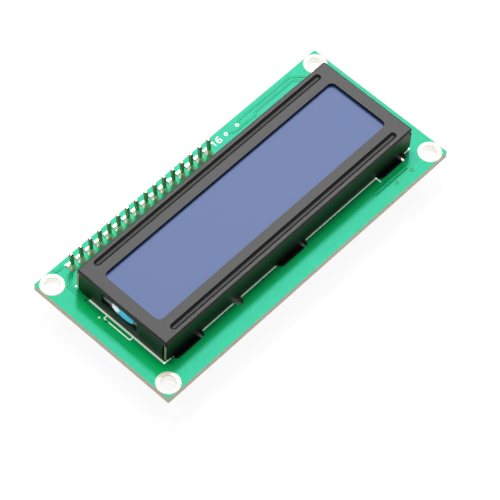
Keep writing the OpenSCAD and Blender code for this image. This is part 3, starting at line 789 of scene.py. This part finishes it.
def pinTree():
    tree, given = newTree("leaningPins",
                          {"Pin": "Object", "Bend Height": "Float", "Least Lean": "Float",
                           "Most Lean": "Float", "Seed": "Int"})
    shape = node(tree, "GeometryNodeObjectInfo", {"Object": given["Pin"]}, transform_space="ORIGINAL")
    placed = node(tree, "GeometryNodeInstanceOnPoints",
                  {"Points": given["Geometry"], "Instance": shape.outputs["Geometry"]})
    slope = node(tree, "FunctionNodeRandomValue",
                 {2: given["Least Lean"], 3: given["Most Lean"], "Seed": given["Seed"]},
                 data_type="FLOAT")
    sway = node(tree, "FunctionNodeRandomValue",
                {2: -pins["sway"], 3: pins["sway"], "Seed": given["Seed"],
                 "ID": node(tree, "GeometryNodeInputIndex").outputs[0]}, data_type="FLOAT")
    marked = node(tree, "GeometryNodeStoreNamedAttribute",
                  {"Geometry": placed.outputs[0], "Name": "lean", "Value": slope.outputs[1]},
                  data_type="FLOAT", domain="INSTANCE")
    swayed = node(tree, "GeometryNodeStoreNamedAttribute",
                  {"Geometry": marked.outputs[0], "Name": "sway", "Value": sway.outputs[1]},
                  data_type="FLOAT", domain="INSTANCE")
    real = node(tree, "GeometryNodeRealizeInstances", {"Geometry": swayed.outputs[0]})
    height = node(tree, "ShaderNodeSeparateXYZ",
                  {0: node(tree, "GeometryNodeInputPosition").outputs[0]}).outputs[2]
    above = node(tree, "ShaderNodeMath", {0: height, 1: given["Bend Height"]},
                 operation="SUBTRACT").outputs[0]
    free = node(tree, "ShaderNodeMath", {0: above, 1: 0.0}, operation="MAXIMUM").outputs[0]
    lean = node(tree, "GeometryNodeInputNamedAttribute", {"Name": "lean"}, data_type="FLOAT").outputs[0]
    swing = node(tree, "GeometryNodeInputNamedAttribute", {"Name": "sway"},
                 data_type="FLOAT").outputs[0]
    back = node(tree, "ShaderNodeMath", {0: free, 1: lean}, operation="MULTIPLY").outputs[0]
    aside = node(tree, "ShaderNodeMath", {0: free, 1: swing}, operation="MULTIPLY").outputs[0]
    shift = node(tree, "ShaderNodeCombineXYZ", {"X": aside, "Y": back}).outputs[0]
    bent = node(tree, "GeometryNodeSetPosition", {"Geometry": real.outputs[0], "Offset": shift})
    closeTree(tree,
              node(tree, "GeometryNodeSetMaterial",
                   {"Geometry": bent.outputs[0], "Material": pinMetal}).outputs[0])
    return tree


def pinPlaces():
    return [(boardShape["pinStart"] + i * boardShape["pinPitch"], boardShape["pinRow"],
             0.0) for i in range(boardShape["pinCount"])]


def makePins():
    low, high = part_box("pin_01")
    shape = bpy.data.objects.new("pinShape", pinMesh(low.z / mm, high.z / mm))
    bpy.context.scene.collection.objects.link(shape)
    host = looseHost("pinPoints", pinPlaces())
    most = math.tan(math.radians(pins["lean"]))
    least = math.tan(math.radians(pins["lean"] - pins["leanSpread"]))
    mesh = bakeTree(host, pinTree(),
                    {"Pin": shape, "Bend Height": pins["bendAt"] * mm, "Least Lean": least,
                     "Most Lean": most, "Seed": pins["seed"]}, "header_pins")
    bpy.data.objects.remove(shape)
    addPiece("header_pins", mesh, [n for n in cadNodes if n.startswith("pin_")])


joints = {"foot": 0.98, "neck": 0.40, "height": 1.35, "seed": 5}


def makeSolder():
    f, n, h = joints["foot"], joints["neck"], joints["height"]
    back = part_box("pcb")[0].z / mm
    section = [(0.0, back + 0.02), (0.45, back + 0.02), (0.45, -0.05), (f, -0.01), (f * 1.0, 0.05),
               (f * 0.93, 0.16), (f * 0.80, 0.34), (f * 0.68, 0.55), (f * 0.58, 0.80),
               (f * 0.50, 1.02), (n + 0.03, h * 0.92), (n, h), (0.0, h)]
    shape = turnedMesh("solderShape", section, solder, 28, wobble=0.06, seed=2.0)
    mesh = scatter("solder_joints", shape, pinPlaces(), (0.95, 1.04), 6.28, joints["seed"])
    softShade(mesh, 50)
    addPiece("solder_joints", mesh, ["solder_joints"])


strip = {"chamfer": 0.12, "notch": 0.51, "gap": 0.01}


def makeStrip():
    low, high = [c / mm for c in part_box("header_strip")]
    pitch, wide, cut = boardShape["pinPitch"], (high.y - low.y) / 2, strip["notch"]
    half = pitch / 2 - strip["gap"]
    outline = [(-half, cut - wide), (cut - half, -wide), (half - cut, -wide), (half, cut - wide),
               (half, wide - cut), (half - cut, wide), (cut - half, wide), (-half, wide - cut)]
    bm = bmesh.new()
    lower = [bm.verts.new((x * mm, y * mm, low.z * mm)) for x, y in outline]
    upper = [bm.verts.new((x * mm, y * mm, high.z * mm)) for x, y in outline]
    bm.faces.new(lower[::-1])
    bm.faces.new(upper)
    for i in range(8):
        j = (i + 1) % 8
        bm.faces.new((lower[i], lower[j], upper[j], upper[i]))
    rims = [e for e in bm.edges if abs(e.verts[0].co.z - e.verts[1].co.z) < 1e-9]
    bmesh.ops.bevel(bm, geom=rims, offset=strip["chamfer"] * mm, segments=2, affect="EDGES",
                    profile=0.5)
    mesh = bpy.data.meshes.new("stripCell")
    bm.to_mesh(mesh)
    bm.free()
    mesh.materials.append(headerPlastic)
    outward(mesh)
    whole = scatter("header_strip", mesh, pinPlaces())
    softShade(whole, 40)
    addPiece("header_strip", whole, ["header_strip"])


pads = {"width": 1.7, "reach": (-0.1, 1.35), "height": 0.035}
ribbon("pin_pads", [[(x, y + pads["reach"][0]), (x, y + pads["reach"][1])] for x, y, z in pinPlaces()],
       pads["width"], pads["height"], solder, bend=0.0)
makePins()
makeSolder()
makeStrip()
print("header made")

# ---- bezel: the sheet's own shape, smoothed, with bare metal on the cut ends by the corner slits

bezelShape = {
    "halfWidth": 11.85,
    "drawnRadius": 0.6,  # the solid's own edge round
    "edgeRadius": 0.38,
    "slitTop": 5.35,
    "slitReach": 0.2,
    "slitSide": 11.3,
}


def makeBezel():
    mesh = cadNodes["bezel"].data.copy()
    mesh.name = "bezelSheet"
    bm = bmesh.new()
    bm.from_mesh(mesh)
    bmesh.ops.remove_doubles(bm, verts=bm.verts, dist=2e-7)
    bmesh.ops.dissolve_limit(bm, angle_limit=math.radians(0.3), verts=bm.verts, edges=bm.edges)
    bm.to_mesh(mesh)
    bm.free()
    mesh.materials.clear()
    mesh.materials.append(bezelPaint)
    mesh.materials.append(bareSteel)
    low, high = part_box("bezel")
    middle = (low + high) / 2
    keep, made = bezelShape["drawnRadius"] * mm, bezelShape["edgeRadius"] * mm
    outside = (high.x - middle.x, bezelShape["halfWidth"] * mm)
    for v in mesh.vertices:
        if v.co.z < high.z - keep:
            continue
        spare = [outside[i] - abs(v.co[i] - middle[i]) for i in (0, 1)]
        if min(spare) > keep or min(spare) < -1e-6:
            continue
        for i in (0, 1):
            if spare[i] < keep:
                pulled = outside[i] - spare[i] * made / keep
                v.co[i] = middle[i] + math.copysign(pulled, v.co[i] - middle[i])
        v.co.z = high.z - (high.z - v.co.z) * made / keep
    for face in mesh.polygons:
        face.material_index = 0
        c = face.center
        atEnd = min(abs(c.x - low.x), abs(c.x - high.x)) < bezelShape["slitReach"] * mm
        beside = abs(c.y - middle.y) > bezelShape["slitSide"] * mm
        atSlit = beside and 0 < c.z < bezelShape["slitTop"] * mm
        if abs(face.normal.x) > 0.9 and atEnd and atSlit:
            face.material_index = 1
    softShade(mesh, 40)
    piece = addPiece("bezel_sheet", mesh, ["bezel"])
    even = piece.modifiers.new("evenNormals", "WEIGHTED_NORMAL")
    even.keep_sharp = True
    even.weight = 100


makeBezel()
print("bezel made")

# ---- display cell


def plate(name, low, high, material, edge, replaced):
    bm = bmesh.new()
    bmesh.ops.create_cube(bm, size=1.0)
    for v in bm.verts:
        v.co = Vector([low[i] if v.co[i] < 0 else high[i] for i in range(3)])
    bmesh.ops.bevel(bm, geom=list(bm.edges), offset=edge * mm, segments=2, affect="EDGES", profile=0.5)
    mesh = bpy.data.meshes.new(name)
    bm.to_mesh(mesh)
    bm.free()
    mesh.materials.append(material)
    return addPiece(name, mesh, replaced)


# the flat parts of the stack, from the film down to the reflector
for name, material, edge, slot in (
    ("front_polarizer", frontFilm, 0.03, "front_film"),
    ("front_glass", cellGlass, 0.06, "cell_glass"),
    ("rear_glass", cellGlass, 0.06, "cell_glass"),
    ("rear_polarizer", rearFilm, 0.03, "rear_film"),
    ("zebra_upper", rubber, 0.08, "elastomer"),
    ("zebra_lower", rubber, 0.08, "elastomer"),
    ("light_guide", acrylic, 0.05, "acrylic"),
    ("reflector_film", whitePlastic, 0.02, "white_film"),
    ("diffuser_film", whitePlastic, 0.02, "white_film"),
):
    low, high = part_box(name)
    plate(name + "_plate", low, high, material, edge, [name])

seal = {"bulge": 0.10, "squareness": 1.25, "fill": 0.92, "highlightFrom": 0.55, "highlightAbove": 3.1,
        "seed": 4.0}


def makeSeal():
    low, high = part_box("end_seal")
    centre, half = (low + high) / 2, (high - low) / 2
    bm = bmesh.new()
    bmesh.ops.create_icosphere(bm, subdivisions=4, radius=1.0)
    for v in bm.verts:
        d = v.co.copy()
        push = 1 + seal["bulge"] * noise.noise(d * 2.2 + Vector((seal["seed"], 0, 0)))
        x, y, z = (math.copysign(abs(part) ** (1 / seal["squareness"]), part) for part in d)
        across, tall = half.y * seal["fill"], half.z * seal["fill"]
        v.co = centre + Vector((max(-1.0, x * push) * half.x, y * push * across, z * push * tall))
        v.co.x = max(v.co.x, low.x + 0.02 * mm)
    mesh = bpy.data.meshes.new("sealBlob")
    bm.to_mesh(mesh)
    bm.free()
    mesh.materials.append(blueEpoxyGlow)
    mesh.materials.append(sealHighlight)
    # faces high on the seal's near side get the painted highlight
    for face in mesh.polygons:
        c = face.center / mm
        edge = seal["highlightFrom"] + 0.35 * math.sin(c.z * 4.0)
        if c.y > edge and c.z > seal["highlightAbove"] + 0.25 * math.sin(c.y * 5):
            face.material_index = 1
    mesh.shade_smooth()
    addPiece("end_seal_blob", mesh, ["end_seal"])


makeSeal()
print("display cell made")

# ---- parts behind the board

glob = {"rings": 15, "fit": 0.985, "sideCurve": 0.8, "topCurve": 1.15, "wobble": 0.02}


def makeGlob(nodeName, seed):
    low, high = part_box(nodeName)
    radius, height, base = (high.x - low.x) / 2 / mm, (high.z - low.z) / mm, high.z / mm
    foot = radius * glob["fit"]
    profile = [(foot, base)]
    for k in range(1, glob["rings"]):
        angle = k / glob["rings"] * math.pi / 2
        across, down = math.cos(angle) ** glob["sideCurve"], math.sin(angle) ** glob["topCurve"]
        profile.append((foot * across, base - height * down))
    profile.append((0.0, base - height))
    mesh = turnedMesh(nodeName + "Dome", profile, blackEpoxy, 72, wobble=glob["wobble"], seed=seed)
    for v in mesh.vertices:
        v.co.x += (low.x + high.x) / 2
        v.co.y += (low.y + high.y) / 2
    addPiece(nodeName + "_dome", mesh, [nodeName])


makeGlob("controller_glob", 1.0)
makeGlob("driver_glob", 5.0)


def bevelBox(bm, low, high, edge, index):
    made = bmesh.ops.create_cube(bm, size=1.0)["verts"]
    for v in made:
        v.co = Vector([low[i] if v.co[i] < 0 else high[i] for i in range(3)])
    edges = list({e for v in made for e in v.link_edges})
    faces = bmesh.ops.bevel(bm, geom=edges, offset=edge, segments=2, affect="EDGES",
                            profile=0.5)["faces"]
    for face in {f for g in faces for v in g.verts for f in v.link_faces}:
        face.material_index = index


chip = {"capShare": 0.2, "inset": 0.03, "capEdge": 0.06, "solderFoot": 0.45, "solderRise": 0.8,
        "solderInset": 0.05}


def makeChip(nodeName, body):
    low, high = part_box(nodeName)
    cap = (high.x - low.x) * chip["capShare"]
    inset, capEdge = chip["inset"] * mm, chip["capEdge"] * mm
    bm = bmesh.new()
    bevelBox(bm, (low.x + cap, low.y + inset, low.z + inset), (high.x - cap, high.y - inset, high.z),
             inset, 0)
    bevelBox(bm, (low.x, low.y, low.z), (low.x + cap, high.y, high.z), capEdge, 1)
    bevelBox(bm, (high.x - cap, low.y, low.z), (high.x, high.y, high.z), capEdge, 1)
    for side, x in ((-1, low.x), (1, high.x)):
        # solder slope from the board up the end cap
        foot, top = x + side * chip["solderFoot"] * mm, high.z - (high.z - low.z) * chip["solderRise"]
        y0, y1 = low.y + chip["solderInset"] * mm, high.y - chip["solderInset"] * mm
        corners = [bm.verts.new(p) for p in ((x, y0, high.z), (foot, y0, high.z), (x, y0, top),
                                             (x, y1, high.z), (foot, y1, high.z), (x, y1, top))]
        for f in ((0, 1, 2), (3, 5, 4), (1, 4, 5, 2), (0, 2, 5, 3), (0, 3, 4, 1)):
            bm.faces.new([corners[i] for i in f]).material_index = 2
    mesh = bpy.data.meshes.new(nodeName + "Chip")
    bm.to_mesh(mesh)
    bm.free()
    for m in (body, tin, solder):
        mesh.materials.append(m)
    softShade(mesh, 40)
    addPiece(nodeName + "_chip", mesh, [nodeName])


for name in cadNodes:
    if "resistor" in name:
        makeChip(name, chipBody)
makeChip("supply_capacitor", chipTan)

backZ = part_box("pcb")[0].z / mm
backCopper = {
    "height": 0.03,
    "width": 0.4,
    "fanPitch": 0.9,
    "fanTurn": 13.6,
    "fanStep": 0.22,
    "fanEnd": 6.2,
    "busPitch": 0.85,
    "bus": ((-7.6, -6.0), (-4.5, -6.0), (-1.5, -5.6), (1.5, -5.6), (4.5, -6.0), (8.4, -6.0)),
    "busLines": 4,
}


def backPaths():
    paths = []
    globX = sum(c.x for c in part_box("controller_glob")) / 2 / mm
    half = (boardShape["pinCount"] - 1) / 2
    for i, (x, y, z) in enumerate(pinPlaces()):
        near = globX + (i - half) * backCopper["fanPitch"]
        turnY = backCopper["fanTurn"] - backCopper["fanStep"] * abs(i - half)
        slope = turnY - 1.2 - abs(x - near) * 0.45
        paths.append([(x, y - 1.6), (x, turnY - 1.2), (near, slope), (near, backCopper["fanEnd"])])
    return paths


def ringPath(x, y, radius, steps=48):
    return [(x + radius * math.cos(2 * math.pi * s / steps),
             y + radius * math.sin(2 * math.pi * s / steps)) for s in range(steps + 1)]


busPaths = [[(x, y + k * backCopper["busPitch"]) for x,
             y in backCopper["bus"]] for k in range(backCopper["busLines"])]
backLines = backPaths() + busPaths
ribbon("back_copper", backLines, backCopper["width"], backCopper["height"], maskedCopper,
       z=backZ)
globRings = []
for name in ("controller_glob", "driver_glob"):
    low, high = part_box(name)
    globRings.append(ringPath((low.x + high.x) / 2 / mm, (low.y + high.y) / 2 / mm,
                              (high.x - low.x) / 2 / mm + 0.5))
ribbon("back_legend", globRings, legend["mark"]["width"], legend["height"], legendInkGlow,
       bend=0.0, z=backZ)
print("back of the board made")

plainNodes = {
    "backlight_frame": whitePlastic,
    "backlight_led_board": whitePlastic,
    "backlight_leds": ledWindow,
    "backlight_leads": solder,
    "lead_solder": solder,
}
for name, material in plainNodes.items():
    shown = cadNodes[name].data
    shown.materials.clear()
    shown.materials.append(material)

print("scene made")
